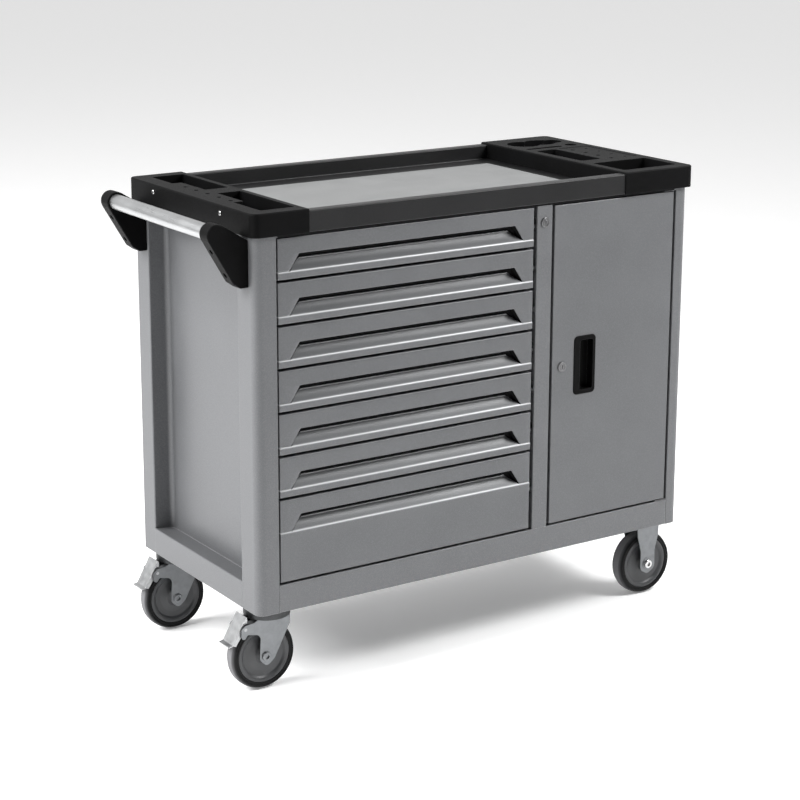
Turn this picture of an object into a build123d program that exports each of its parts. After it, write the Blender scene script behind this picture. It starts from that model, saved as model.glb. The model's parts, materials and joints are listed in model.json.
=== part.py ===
from build123d import *
import math
import os

os.makedirs("parts", exist_ok=True)

# Rolling tool chest. All sizes in millimetres, worked out in the cabinet's own
# frame: X to the right from the left wall, Y back from the front face, Z up from
# the floor. export() moves every piece so that the origin is at the bottom centre.

# ---- cabinet
WIDTH = 926.0
DEPTH = 430.0
SHEET = 1.2                     # body sheet steel
BASE_Z = 155.5                  # underside of the cabinet
BODY_TOP = 817.8                # upper edge of the walls, hidden by the worktop
RAIL_TOP = 204.8                # top of the bottom rail
FLOOR_Z = RAIL_TOP - SHEET      # upper face of the cabinet floor
TOP_RAIL_Z = 806.0
FRAME_DEPTH = 22.0              # depth of the posts and rails
CORNER_R = 16.0                 # front vertical corners
LEFT_POST, RIGHT_POST = 41.3, 29.5
LEFT_RECESS, RIGHT_RECESS = 38.0, 26.0
FRONT_POST_DEPTH = 59.0         # side face of the front posts
REAR_POST_Y = 383.0             # where the rear posts start
LEFT_WALL = LEFT_RECESS + SHEET             # inner faces of the recessed side walls
RIGHT_WALL = WIDTH - RIGHT_RECESS - SHEET
BACK_Y = DEPTH - SHEET                      # outer face of the back panel
BACK_INNER_Y = BACK_Y - SHEET
PARTITION_X = 571.3                         # left face of the centre partition
POST_X0, POST_X1 = 575.7, 609.4             # centre post

# ---- drawers
FRONT_X0, FRONT_X1 = 44.0, 568.0
FRONT_GAP = 5.0
DRAWER_TOP_Z = 804.2
SMALL_PITCH, LARGE_PITCH = 75.0, 150.0
SMALL_DRAWERS = 6
FRONT_DEPTH = 18.0              # folded depth of a drawer front
DRAWER_SHEET = 1.0
GRIP_TOP, GRIP_RIDGE = 28.4, 57.0           # below the top of the front
GRIP_HALF_TOP, GRIP_HALF_RIDGE = 221.0, 240.0
GRIP_DEPTH, GRIP_RISE = 14.0, 18.0
SLIDE_HALF = 17.5               # half the height of the outer slide channel
SLIDE_SPACE = 12.6              # between a cabinet wall and a drawer box
SLIDE_Y0, SLIDE_Y1 = 26.0, 416.0
OUTER_SLIDE = (0.0, 1.2, 9.0)   # web's two faces and the flanges' edge, off the wall
MIDDLE_SLIDE = (2.5, 3.7, 10.6)
INNER_SLIDE = (11.4, 12.6, 4.2)
MIDDLE_STEP, INNER_STEP = 3.0, 6.0          # how much lower the nested channels are, each side
BOX_REAR_Y = 418.0

# ---- worktop and end trays
LIP_Z, RIM_TOP = 810.0, 846.7
PAN_Y0, PAN_Y1 = -5.0, 441.0
RIM_WIDTH = 19.6
PAN_FLOOR = BODY_TOP + SHEET    # upper face of the pan
PAN_X0, PAN_X1 = -3.5, WIDTH + 3.5
END_FLANGE_TOP = 842.0
MAT_X0, MAT_X1, MAT_Y0, MAT_Y1, MAT_THICK = 160.0, 728.0, 74.0, 362.0, 3.0
TRAY_TOP, TRAY_DECK, TRAY_WALL = 850.0, 3.0, 2.2
TRAY_X0, TRAY_X1 = -6.0, WIDTH + 6.0
TRAY_Y0, TRAY_Y1 = -7.5, 443.5
LEFT_TRAY_EDGE, RIGHT_TRAY_EDGE = 101.6, 769.7
BIN_FLOOR = 823.0
TRAY_SCREW_YS, TRAY_SCREW_Z = (102.0, 345.0), 836.4

# ---- side handle
TUBE_R = 13.5
TUBE_X, TUBE_Z = -57.5, 817.3
BRACKET_W = 28.0
BRACKET_Y0 = (20.0, 387.0)
BRACKET_END_R = 17.5
HANDLE_SCREWS = ((-56.8, 788.0), (-35.7, 746.5))    # on the sloping face: x, z

# ---- door
DOOR_X0, DOOR_X1, DOOR_Z0, DOOR_Z1, DOOR_DEPTH = 615.1, 891.0, 208.8, 803.5, 18.0
HINGE_X, HINGE_Y, HINGE_R = 884.0, 8.0, 3.0
CUP_X0, CUP_X1, CUP_Z0, CUP_Z1 = 664.3, 713.5, 447.0, 557.0
DOOR_LOCK_X, DOOR_LOCK_Z = 636.5, 504.5
MAIN_LOCK_X, MAIN_LOCK_Z = 592.6, 775.5
SHELF_Z = 500.0

# ---- casters
WHEEL_R, WHEEL_W = 62.5, 32.0
TYRE_IN_R = 50.0
AXLE_R = 5.0
SWIVEL_X, SWIVEL_AXLE_X, RIGID_X = 52.0, 38.0, 893.0
FRONT_WHEEL_Y, REAR_WHEEL_Y = 65.0, 396.0
PLATE_T = 3.0
PLATE_Z = BASE_Z - PLATE_T      # underside of the mounting plates
LEG_GAP, LEG_T = 38.0, 2.5      # between the fork's legs, and their thickness
FORK_TOP = 140.0
PIVOT_X, PIVOT_Z, PIVOT_R = -2.0, 119.0, 3.0        # brake pedal's pin
RUNNING = 0.05                  # radial running clearance of shafts

ORIGIN_X = (TUBE_X - BRACKET_END_R + RIGID_X + WHEEL_R) / 2
ORIGIN_Y = (TRAY_Y0 + TRAY_Y1) / 2


def export(name, *solids):
    """Write one node: its solids, moved to the chest's origin."""
    moved = [Location((-ORIGIN_X, -ORIGIN_Y, 0)) * s for s in solids]
    shape = moved[0] if len(moved) == 1 else Compound(moved)
    export_step(shape, f"parts/{name}.step")


def block(x0, x1, y0, y1, z0, z1):
    """Rectangular block between two corners."""
    corner = (Align.MIN, Align.MIN, Align.MIN)
    return Pos(x0, y0, z0) * Box(x1 - x0, y1 - y0, z1 - z0, align=corner)


def outline(points, radii):
    """Face inside a closed polygon with rounded corners."""
    return make_face(FilletPolyline(*points, radius=radii, close=True))


def along_x(face, x0, x1):
    """Prism of a (y, z) face between two x."""
    return extrude(Plane.YZ.offset(x0) * face, amount=x1 - x0)


def along_y(face, y0, y1):
    """Prism of an (x, z) face between two y."""
    return extrude(Plane((0, y1, 0), x_dir=(1, 0, 0), z_dir=(0, -1, 0)) * face, amount=y1 - y0)


def along_z(face, z0, z1):
    """Prism of an (x, y) face between two z."""
    return extrude(Plane.XY.offset(z0) * face, amount=z1 - z0)


def rod_x(y, z, r, x0, x1):
    return along_x(Pos(y, z) * Circle(r), x0, x1)


def rod_y(x, z, r, y0, y1):
    return along_y(Pos(x, z) * Circle(r), y0, y1)


def rod_z(x, y, r, z0, z1):
    return along_z(Pos(x, y) * Circle(r), z0, z1)


def sheet_face(points, radii, thick):
    """Section of a folded sheet. thick goes to the left of the path, or right if negative.

    radii are the bends' radii on the path's own side.
    """
    offset = []
    other = []
    side = 1 if thick > 0 else -1
    t = abs(thick)
    dirs = [(Vector(*b) - Vector(*a)).normalized() for a, b in zip(points, points[1:])]
    normals = [Vector(-d.Y, d.X) * side for d in dirs]
    for i, p in enumerate(points):
        first = normals[max(i - 1, 0)]
        last = normals[min(i, len(normals) - 1)]
        mitre = (first + last) * (t / (1 + first.dot(last)))
        offset.append((p[0] + mitre.X, p[1] + mitre.Y))
    for i, r in enumerate(radii):
        turn = (dirs[i].X * dirs[i + 1].Y - dirs[i].Y * dirs[i + 1].X) * side
        other.append(max(r - t, 0) if turn > 0 else r + t)
    return outline(points + offset[::-1], [0, *radii, 0, 0, *other[::-1], 0])


def mirror_x(shape):
    """The same piece on the other side of the cabinet's middle."""
    return mirror(shape, about=Plane.YZ.offset(WIDTH / 2))


# ---------------------------------------------------------------- cabinet

def bolt_places():
    """Centres of the casters' mounting bolts."""
    places = []
    for y in (FRONT_WHEEL_Y, REAR_WHEEL_Y):
        places += [(SWIVEL_X + sx * 34, y + sy * 23) for sx in (-1, 1) for sy in (-1, 1)]
        places += [(RIGID_X + sx * 23, y + sy * 26.2) for sx in (-1, 1) for sy in (-1, 1)]
    return places


def drill_base(shape):
    """Bolt holes through the underside."""
    for x, y in bolt_places():
        shape -= rod_z(x, y, 3.2, BASE_Z - 4, BASE_Z + 4)
    return shape


def side_panel(post, recess):
    """Left-hand side: posts and recessed field folded from one sheet, closed by rails."""
    path = [(post, FRAME_DEPTH), (post, 0), (0, 0), (0, FRONT_POST_DEPTH),
            (recess, FRONT_POST_DEPTH), (recess, REAR_POST_Y), (0, REAR_POST_Y),
            (0, DEPTH), (recess + 2, DEPTH)]
    bends = [1.5, CORNER_R, 2.5, 9.0, 9.0, 2.5, 5.0]
    wall = along_z(sheet_face(path, bends, -SHEET), BASE_Z, BODY_TOP)
    y0, y1 = FRONT_POST_DEPTH - SHEET, REAR_POST_Y + SHEET
    inner = recess + SHEET
    sill = [(inner, RAIL_TOP - 6), (0, RAIL_TOP - 1.5), (0, BASE_Z), (inner, BASE_Z)]
    wall += along_y(sheet_face(sill, [2.0, 1.5], SHEET), y0, y1)
    head = [(0, BODY_TOP), (0, 800.0), (inner, 800.0)]
    wall += along_y(sheet_face(head, [1.5], SHEET), y0, y1)
    foot = [(post, 0), (0, 0), (0, DEPTH), (inner, DEPTH), (inner, FRAME_DEPTH), (post, FRAME_DEPTH)]
    wall += along_z(outline(foot, [0, CORNER_R, 5, 0, 0, 0]), BASE_Z, BASE_Z + SHEET)
    return wall


def drill_handle(panel):
    """Holes for the side handle's screws."""
    for y0 in BRACKET_Y0:
        for _, z in HANDLE_SCREWS:
            panel -= rod_x(y0 + BRACKET_W / 2, z, 2.7, -2, 4)
    return panel


def front_frame():
    """Bottom rail, top rail and centre post, welded face to face."""
    left, right = LEFT_POST, WIDTH - RIGHT_POST
    low = [(30, BASE_Z), (0, BASE_Z), (0, RAIL_TOP), (FRAME_DEPTH, RAIL_TOP)]
    rail = along_x(sheet_face(low, [1.5, 1.5], -SHEET), LEFT_WALL, right - 0.6)
    rail -= block(LEFT_WALL, left, -1, FRAME_DEPTH, BASE_Z - 1, RAIL_TOP + 1)
    rail -= block(LEFT_WALL, left, -1, 31, BASE_Z - 1, BASE_Z + 2)
    high = [(FRAME_DEPTH, BODY_TOP), (0, BODY_TOP), (0, TOP_RAIL_Z), (FRAME_DEPTH, TOP_RAIL_Z)]
    top = along_x(sheet_face(high, [1.5, 1.5], SHEET), left, right)
    plan = [(POST_X0, FRAME_DEPTH), (POST_X0, 0), (POST_X1, 0), (POST_X1, FRAME_DEPTH)]
    post = along_z(sheet_face(plan, [1.5, 1.5], SHEET), RAIL_TOP, TOP_RAIL_Z)
    post -= rod_y(MAIN_LOCK_X, MAIN_LOCK_Z, 7 + RUNNING, -1, 3)
    for top_z, height in drawer_rows():
        z = top_z - height / 2
        post -= block(POST_X0 - 1, POST_X0 + 2, 5, 17, z - 6, z + 16)
    return rail, top, post


def floor_pan():
    """Cabinet floor with a folded channel along each side for the casters."""
    pan = block(LEFT_WALL, RIGHT_WALL, SHEET + 0.5, BACK_INNER_Y, FLOOR_Z - SHEET, FLOOR_Z)
    for web, edge in ((96.0, LEFT_WALL), (846.0, RIGHT_WALL)):
        path = [(web, FLOOR_Z - SHEET), (web, BASE_Z), (edge, BASE_Z)]
        side = SHEET if edge > web else -SHEET
        pan += along_y(sheet_face(path, [1.5], side), 31, BACK_INNER_Y)
    pan -= block(LEFT_WALL, LEFT_POST, 0, FRAME_DEPTH, FLOOR_Z - 3, FLOOR_Z + 1)
    pan -= block(WIDTH - RIGHT_POST, RIGHT_WALL + 1, 0, FRAME_DEPTH, FLOOR_Z - 3, FLOOR_Z + 1)
    return drill_base(pan)


def back_panel():
    """Flat back with three pressed swages that keep it stiff."""
    panel = block(LEFT_RECESS - 16, RIGHT_WALL + 16, BACK_INNER_Y, BACK_Y, BASE_Z + SHEET, BODY_TOP)
    for z in (330.0, 490.0, 650.0):
        swage = [(BACK_INNER_Y, z - 11), (BACK_INNER_Y - 4, z - 6),
                 (BACK_INNER_Y - 4, z + 6), (BACK_INNER_Y, z + 11)]
        groove = [(y + SHEET, h) for y, h in swage]
        panel += along_x(outline(swage, 0), 90, WIDTH - 90)
        panel -= along_x(outline(groove, 0), 91, WIDTH - 91)
    return panel


def centre_partition():
    """Wall between the drawers and the cupboard, flanged behind the centre post."""
    path = [(POST_X1, FRAME_DEPTH), (PARTITION_X, FRAME_DEPTH), (PARTITION_X, BACK_INNER_Y - 4)]
    return along_z(sheet_face(path, [1.5], -SHEET), FLOOR_Z, TOP_RAIL_Z)


def cupboard_shelf():
    """Shelf folded down at all four edges, on four pegs."""
    x0, x1 = PARTITION_X + SHEET + 0.8, RIGHT_WALL - 0.8
    y0, y1 = 34.0, BACK_INNER_Y - 6
    shelf = block(x0, x1, y0, y1, SHELF_Z, SHELF_Z + 18)
    shelf -= block(x0 + 1, x1 - 1, y0 + 1, y1 - 1, SHELF_Z - 1, SHELF_Z + 17)
    pegs = []
    for y in (90.0, 353.0):
        pegs.append(rod_x(y, SHELF_Z - 3, 3, PARTITION_X + SHEET, PARTITION_X + 12))
        pegs.append(rod_x(y, SHELF_Z - 3, 3, RIGHT_WALL - 10, RIGHT_WALL))
    return [shelf] + pegs


# ---------------------------------------------------------------- worktop

def top_pan():
    """Folded steel worktop: a hollow rim along front and back, flanges at both ends."""
    inner0, inner1 = PAN_Y0 + RIM_WIDTH, PAN_Y1 - RIM_WIDTH
    path = [(-0.3, LIP_Z), (PAN_Y0, LIP_Z), (PAN_Y0, RIM_TOP), (inner0, RIM_TOP),
            (inner0, PAN_FLOOR), (inner1, PAN_FLOOR), (inner1, RIM_TOP), (PAN_Y1, RIM_TOP),
            (PAN_Y1, LIP_Z), (PAN_Y1 - 8, LIP_Z)]
    pan = along_x(sheet_face(path, [1.5, 2.2, 2.2, 2.0, 2.0, 2.2, 2.2, 1.5], -SHEET), PAN_X0, PAN_X1)
    for x0, x1 in ((PAN_X0 - 1, 9), (WIDTH - 9, PAN_X1 + 1)):
        pan -= block(x0, x1, PAN_Y0 - 1, inner0 - SHEET, LIP_Z - 1, RIM_TOP + 1)
        pan -= block(x0, x1, inner1 + SHEET, PAN_Y1 + 1, LIP_Z - 1, RIM_TOP + 1)
    for x in (PAN_X0, PAN_X1 - SHEET):
        flange = block(x, x + SHEET, inner0 + 2, inner1 - 2, LIP_Z + 2, END_FLANGE_TOP)
        for y in TRAY_SCREW_YS:
            flange -= rod_x(y, TRAY_SCREW_Z, 2, x - 1, x + 2)
        pan += flange
    return pan


def worktop_mat():
    face = outline([(MAT_X0, MAT_Y0), (MAT_X1, MAT_Y0), (MAT_X1, MAT_Y1), (MAT_X0, MAT_Y1)], [5] * 4)
    return along_z(face, PAN_FLOOR, PAN_FLOOR + MAT_THICK)


def rect(x0, x1, y0, y1, r):
    return outline([(x0, y0), (x1, y0), (x1, y1), (x0, y1)], [r] * 4)


def tray_shell(edge, sign):
    """Moulded cap over one end of the worktop. edge is its inner side."""
    end = TRAY_X0 if sign < 0 else TRAY_X1
    lo, hi = min(edge, end), max(edge, end)
    corners = [14 if sign < 0 else 2, 2 if sign < 0 else 14]
    plan = outline([(lo, TRAY_Y0), (hi, TRAY_Y0), (hi, TRAY_Y1), (lo, TRAY_Y1)],
                   [corners[0], corners[1], corners[1], corners[0]])
    shell = along_z(plan, LIP_Z, TRAY_TOP)
    shell = fillet(shell.faces().sort_by(Axis.Z)[-1].edges(), 2.6)
    hollow_r = [max(c - TRAY_WALL, 0.5) for c in corners]
    hollow = outline([(lo + TRAY_WALL, TRAY_Y0 + TRAY_WALL), (hi - TRAY_WALL, TRAY_Y0 + TRAY_WALL),
                      (hi - TRAY_WALL, TRAY_Y1 - TRAY_WALL), (lo + TRAY_WALL, TRAY_Y1 - TRAY_WALL)],
                     [hollow_r[0], hollow_r[1], hollow_r[1], hollow_r[0]])
    shell -= along_z(hollow, LIP_Z - 1, TRAY_TOP - TRAY_DECK)
    wall0, wall1 = (edge - 3, edge + 1) if sign < 0 else (edge - 1, edge + 3)
    inner0, inner1 = PAN_Y0 + RIM_WIDTH + 1.0, PAN_Y1 - RIM_WIDTH - 1.0
    shell -= block(wall0, wall1, TRAY_Y0 + TRAY_WALL, inner0, LIP_Z - 1, TRAY_TOP - TRAY_DECK)
    shell -= block(wall0, wall1, inner1, TRAY_Y1 - TRAY_WALL, LIP_Z - 1, TRAY_TOP - TRAY_DECK)
    shell -= block(wall0, wall1, inner0 - 1, inner1 + 1, LIP_Z - 1, PAN_FLOOR + 0.4)
    return shell


def sink(shell, mouths):
    """Hang pockets from the deck. Each mouth is a function of its growth, giving a face."""
    for mouth, floor in mouths:
        shell += along_z(mouth(2.0), floor - 2, TRAY_TOP - TRAY_DECK)
    for mouth, floor in mouths:
        shell -= along_z(mouth(0.0), floor, TRAY_TOP + 1)
    return shell


def left_rear_bin(g):
    """Bin that narrows towards the middle, beside the row of driver holes."""
    points = [(26 - g, 334 - g), (44 - g, 334 - g), (44 - g, 246 - g), (90 + g, 246 - g),
              (90 + g, 415 + g), (26 - g, 415 + g)]
    return outline(points, [3 + g, 3, 4 + g, 4 + g, 4 + g, 4 + g])


def left_front_bin(g):
    points = [(24 - g, 20 - g), (90 + g, 20 - g), (90 + g, 204 + g), (44 - g, 204 + g),
              (44 - g, 112 + g), (24 - g, 112 + g)]
    return outline(points, [4 + g, 4 + g, 4 + g, 4 + g, 3, 3 + g])


def can_cups(g):
    """Three cup holders that run into each other."""
    cups = Pos(822, 372) * Circle(33 + g)
    cups += Pos(864, 374) * Circle(31 + g)
    cups += Pos(893, 374) * Circle(20 + g)
    return cups


def pen_slot(g):
    slot = rect(786 - g, 872 + g, 307 - g, 319 + g, 5.9 + g)
    return slot


def driver_cup(g):
    return Pos(897, 318) * Circle(12 + g)


def end_tray_left():
    tray = tray_shell(LEFT_TRAY_EDGE, -1)
    tray = sink(tray, [(left_rear_bin, BIN_FLOOR), (left_front_bin, BIN_FLOOR)])
    for i in range(5):
        tray -= rod_z(28.5, 290 - 40.4 * i, 4.5, TRAY_TOP - 8, TRAY_TOP + 1)
    for y in TRAY_SCREW_YS:
        tray -= rod_x(y, TRAY_SCREW_Z, 2, TRAY_X0 - 1, TRAY_X0 + 4)
    return tray


def end_tray_right():
    tray = tray_shell(RIGHT_TRAY_EDGE, 1)
    pockets = [(can_cups, BIN_FLOOR), (pen_slot, 831.0), (driver_cup, BIN_FLOOR),
               (lambda g: rect(788 - g, 836 + g, 146 - g, 288 + g, 7 + g), BIN_FLOOR),
               (lambda g: rect(786 - g, 912 + g, 18 - g, 112 + g, 7 + g), BIN_FLOOR)]
    tray = sink(tray, pockets)
    tray -= along_z(rect(846, 916, 136, 292, 4), TRAY_TOP - 1.0, TRAY_TOP + 1)
    for i in range(4):
        tray -= rod_z(862, 266 - 39.0 * i, 4.5, TRAY_TOP - 8, TRAY_TOP + 1)
        tray -= rod_z(895, 266 - 39.0 * i, 3.2, TRAY_TOP - 8, TRAY_TOP + 1)
    for y in TRAY_SCREW_YS:
        tray -= rod_x(y, TRAY_SCREW_Z, 2, TRAY_X1 - 4, TRAY_X1 + 1)
    return tray


def tray_screws():
    """Round-head screws through the trays into the worktop's end flanges."""
    screws = []
    for y in TRAY_SCREW_YS:
        head = Pos(TRAY_X0, y, TRAY_SCREW_Z) * Rot(0, -90, 0) * extrude(Circle(4.2), 2.0)
        head = fillet(head.edges().sort_by(Axis.X)[0], 1.5)
        screw = head + rod_x(y, TRAY_SCREW_Z, 2, TRAY_X0, TRAY_X0 + 10)
        screws += [screw, mirror_x(screw)]
    return screws


# ---------------------------------------------------------------- side handle

def bracket_profile():
    """Side view of a handle bracket: a plate that rises to a round end about the tube."""
    end = Pos(TUBE_X, TUBE_Z) * Circle(BRACKET_END_R)
    web = outline([(0, 724), (-15, 724), (-28, 733), (-73.6, 809.5), (-57.5, 834.6), (-48, 832.8),
                   (0, 803)], [2, 4, 8, 3, 0, 6, 2])
    return web + end


def handle_brackets():
    brackets = []
    for y0 in BRACKET_Y0:
        y1 = y0 + BRACKET_W
        bracket = along_y(bracket_profile(), y0, y1)
        rims = bracket.faces().sort_by(Axis.Y)
        bracket = fillet(rims[0].edges() + rims[-1].edges(), 1.8)
        inside = (y0 + 6, y1 + 1) if y0 < DEPTH / 2 else (y0 - 1, y1 - 6)
        bracket -= rod_y(TUBE_X, TUBE_Z, TUBE_R, *inside)
        for x, z in HANDLE_SCREWS:
            bracket -= rod_x(y0 + BRACKET_W / 2, z, 4.6, x - 40, -10)
            bracket -= rod_x(y0 + BRACKET_W / 2, z, 2.6, -12, 1)
        brackets.append(bracket)
    return brackets


def handle_tube():
    y0, y1 = BRACKET_Y0[0] + 6, BRACKET_Y0[1] + BRACKET_W - 6
    return rod_y(TUBE_X, TUBE_Z, TUBE_R, y0, y1) - rod_y(TUBE_X, TUBE_Z, TUBE_R - 1.5, y0 - 1, y1 + 1)


def handle_screws():
    screws = []
    for y0 in BRACKET_Y0:
        y = y0 + BRACKET_W / 2
        for _, z in HANDLE_SCREWS:
            screw = rod_x(y, z, 4.4, -15, -10) + rod_x(y, z, 2.6, -10, 8)
            screw -= along_x(Pos(y, z) * RegularPolygon(2.2, 6), -16, -12)
            screws.append(screw)
    return screws


# ---------------------------------------------------------------- drawers

def drawer_rows():
    """Top edge and height of each drawer front, from the top down."""
    rows = [(DRAWER_TOP_Z - i * SMALL_PITCH, SMALL_PITCH - FRONT_GAP) for i in range(SMALL_DRAWERS)]
    rows.append((DRAWER_TOP_Z - SMALL_DRAWERS * SMALL_PITCH, LARGE_PITCH - FRONT_GAP))
    return rows


def prism(corners):
    """Wedge of the finger grip from its six corners: a b c d on the face, e f inside."""
    a, b, c, d, e, f = corners
    loops = [(a, b, c, d), (a, e, f, b), (d, c, f, e), (a, d, e), (b, f, c)]
    return Solid(Shell([Face(Wire.make_polygon(loop)) for loop in loops]))


def grip_wedge(top_z, grow):
    """Air in front of the grip's slope, or, grown by the sheet, its outside."""
    mid = (FRONT_X0 + FRONT_X1) / 2
    upper, ridge = top_z - GRIP_TOP, top_z - GRIP_RIDGE - 1.5 * grow
    half_top, half_ridge = GRIP_HALF_TOP + 1.2 * grow, GRIP_HALF_RIDGE + 1.6 * grow
    reach = 1 + grow / math.hypot(GRIP_DEPTH, GRIP_TOP - GRIP_RIDGE + GRIP_RISE)
    depth = GRIP_DEPTH * reach
    inner = upper - (GRIP_RIDGE - GRIP_TOP - GRIP_RISE) * reach
    half_in = GRIP_HALF_TOP - 6 + 1.2 * grow
    return prism([(mid - half_ridge, 0, ridge), (mid + half_ridge, 0, ridge),
                  (mid + half_top, 0, upper), (mid - half_top, 0, upper),
                  (mid - half_in, depth, inner), (mid + half_in, depth, inner)])


def drawer_front(top_z, height):
    """Folded front with a pressed finger grip: a slope rising inwards from a ridge."""
    low = top_z - height
    front = block(FRONT_X0, FRONT_X1, 0, FRONT_DEPTH, low, top_z)
    front = fillet(front.faces().sort_by(Axis.Y)[0].edges(), 1.0)
    s = DRAWER_SHEET
    front -= block(FRONT_X0 + s, FRONT_X1 - s, s, FRONT_DEPTH + 1, low + s, top_z - s)
    front += grip_wedge(top_z, s)
    front -= grip_wedge(top_z, 0)
    return front


def box_span(top_z, height):
    """Floor and rim height of a drawer's box."""
    return top_z - height + 3.0, top_z - 8.0


def slide_z(top_z, height):
    """Height of a drawer's slides."""
    low, _ = box_span(top_z, height)
    return low + (30.0 if height < 100 else 46.0)


def drawer_box(top_z, height):
    """Open sheet tray with folded rims, and the two inner slide members on its sides."""
    s = DRAWER_SHEET
    low, rim = box_span(top_z, height)
    x0, x1 = LEFT_WALL + SLIDE_SPACE, PARTITION_X - SLIDE_SPACE
    box = block(x0, x1, FRONT_DEPTH, BOX_REAR_Y, low, rim)
    box -= block(x0 + s, x1 - s, FRONT_DEPTH + s, BOX_REAR_Y - s, low + s, rim + 1)
    for x in (x0 + s, x1 - 2 * s):
        box += block(x, x + s, FRONT_DEPTH + s, BOX_REAR_Y - s, rim - 9, rim)
    return [box] + slide_members(slide_z(top_z, height), *INNER_SLIDE, SLIDE_HALF - INNER_STEP)


def slide_members(z, web_a, web_b, lip, half):
    """One pair of slide channels: a web between two depths, flanged to lip."""
    t = SHEET
    pair = []
    for wall, sign in ((LEFT_WALL, 1), (PARTITION_X, -1)):
        def at(d):
            return wall + sign * d
        a, b = sorted((at(web_a), at(web_b)))
        c, d = sorted((at(web_a if lip > web_a else web_b), at(lip)))
        member = block(a, b, SLIDE_Y0, SLIDE_Y1, z - half, z + half)
        member += block(c, d, SLIDE_Y0, SLIDE_Y1, z + half - t, z + half)
        member += block(c, d, SLIDE_Y0, SLIDE_Y1, z - half, z - half + t)
        pair.append(member)
    return pair


def outer_slides():
    members = []
    for top_z, height in drawer_rows():
        members += slide_members(slide_z(top_z, height), *OUTER_SLIDE, SLIDE_HALF)
    return members


def middle_slides(top_z, height):
    return slide_members(slide_z(top_z, height), *MIDDLE_SLIDE, SLIDE_HALF - MIDDLE_STEP)


# ---------------------------------------------------------------- door and locks

def door_panel():
    """Folded door pan with turned-in edges at the back."""
    s = SHEET
    door = block(DOOR_X0, DOOR_X1, 0, DOOR_DEPTH, DOOR_Z0, DOOR_Z1)
    door = fillet(door.faces().sort_by(Axis.Y)[0].edges(), 1.2)
    door -= block(DOOR_X0 + s, DOOR_X1 - s, s, DOOR_DEPTH - s, DOOR_Z0 + s, DOOR_Z1 - s)
    door -= block(DOOR_X0 + 14, DOOR_X1 - 14, s, DOOR_DEPTH + 1, DOOR_Z0 + 14, DOOR_Z1 - 14)
    door -= along_y(cup_face(3.0), -1, 3)
    door -= rod_y(DOOR_LOCK_X, DOOR_LOCK_Z, 7 + RUNNING, -1, 3)
    for z in (DOOR_Z0, DOOR_Z1):
        door -= rod_z(HINGE_X, HINGE_Y, HINGE_R, z - 3, z + 3)
    return door


def cup_face(inset):
    """Outline of the handle cup, drawn in from its flange."""
    x0, x1, z0, z1 = CUP_X0 + inset, CUP_X1 - inset, CUP_Z0 + inset, CUP_Z1 - inset
    return outline([(x0, z0), (x1, z0), (x1, z1), (x0, z1)], [max(8 - inset, 2)] * 4)


def door_handle_cup():
    """Moulded flush pull: a rim on the door and a pocket behind its right half."""
    cup = along_y(cup_face(0.0), -1.8, 0)
    cup = fillet(cup.faces().sort_by(Axis.Y)[0].edges(), 1.2)
    cup += along_y(cup_face(3.1), 0, 16.5)
    x0, x1, z0, z1 = CUP_X0 + 13, CUP_X1 - 6, CUP_Z0 + 8, CUP_Z1 - 8
    cup -= along_y(outline([(x0, z0), (x1, z0), (x1, z1), (x0, z1)], [4] * 4), -3, 15)
    cup -= block(CUP_X0 + 6, x0 + 1, 3, 15, z0 + 2, z1 - 2)
    return cup


def lock_barrel(x, z, length):
    """Round barrel with a keyway, turning in its hole."""
    barrel = rod_y(x, z, 9.0, -2.6, -0.1)
    barrel = fillet(barrel.edges().sort_by(Axis.Y)[0], 0.8)
    barrel += rod_y(x, z, 7.0, -0.1, length)
    barrel -= rod_y(x, z, 6.0, -3, -1.8) - rod_y(x, z, 5.0, -3, -1.8)
    barrel -= along_y(Pos(x, z) * Rectangle(1.6, 6.5), -3, 6)
    return barrel


def door_lock():
    """Barrel and its cam, which hangs down when the door is unlocked."""
    barrel = lock_barrel(DOOR_LOCK_X, DOOR_LOCK_Z, 27.0)
    cam = along_y(outline([(DOOR_LOCK_X - 7, DOOR_LOCK_Z + 8), (DOOR_LOCK_X - 7, DOOR_LOCK_Z - 31),
                           (DOOR_LOCK_X + 7, DOOR_LOCK_Z - 31), (DOOR_LOCK_X + 7, DOOR_LOCK_Z + 8)],
                          [4] * 4), 24.2, 26.4)
    return barrel + cam


def main_lock():
    """Barrel of the central lock, with the arm that lifts the lock bar."""
    barrel = lock_barrel(MAIN_LOCK_X, MAIN_LOCK_Z, 17.0)
    arm = along_y(outline([(MAIN_LOCK_X - 10, MAIN_LOCK_Z - 4), (MAIN_LOCK_X + 4, MAIN_LOCK_Z - 4),
                           (MAIN_LOCK_X + 4, MAIN_LOCK_Z + 4), (MAIN_LOCK_X - 10, MAIN_LOCK_Z + 4)],
                          [3] * 4), 14.5, 17.0)
    return barrel + arm


def lock_bar():
    """Bar inside the centre post, with one catch for each drawer."""
    bar = block(578, 580, 4.5, 19, 215, 798)
    for top_z, height in drawer_rows():
        z = top_z - height / 2
        bar += block(573.6, 578.5, 6.5, 15.5, z - 3, z + 3)
    return bar


def hinge_brackets():
    """Two pierced plates on the frame that hold the door's pins."""
    plates = []
    for z0 in (RAIL_TOP, DOOR_Z1 + 0.8):
        plate = block(HINGE_X - 14, WIDTH - RIGHT_POST + 3, 2, 18, z0, z0 + 1.7)
        plate -= block(WIDTH - RIGHT_POST, WIDTH, 0, 20, z0 - 1, z0 + 3)
        plates.append(plate - rod_z(HINGE_X, HINGE_Y, HINGE_R + RUNNING, z0 - 1, z0 + 3))
    return plates


def hinge_pins():
    low = rod_z(HINGE_X, HINGE_Y, HINGE_R, RAIL_TOP + 0.1, DOOR_Z0 + 8)
    high = rod_z(HINGE_X, HINGE_Y, HINGE_R, DOOR_Z1 - 8, DOOR_Z1 + 2.4)
    return low, high


# ---------------------------------------------------------------- casters

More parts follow.
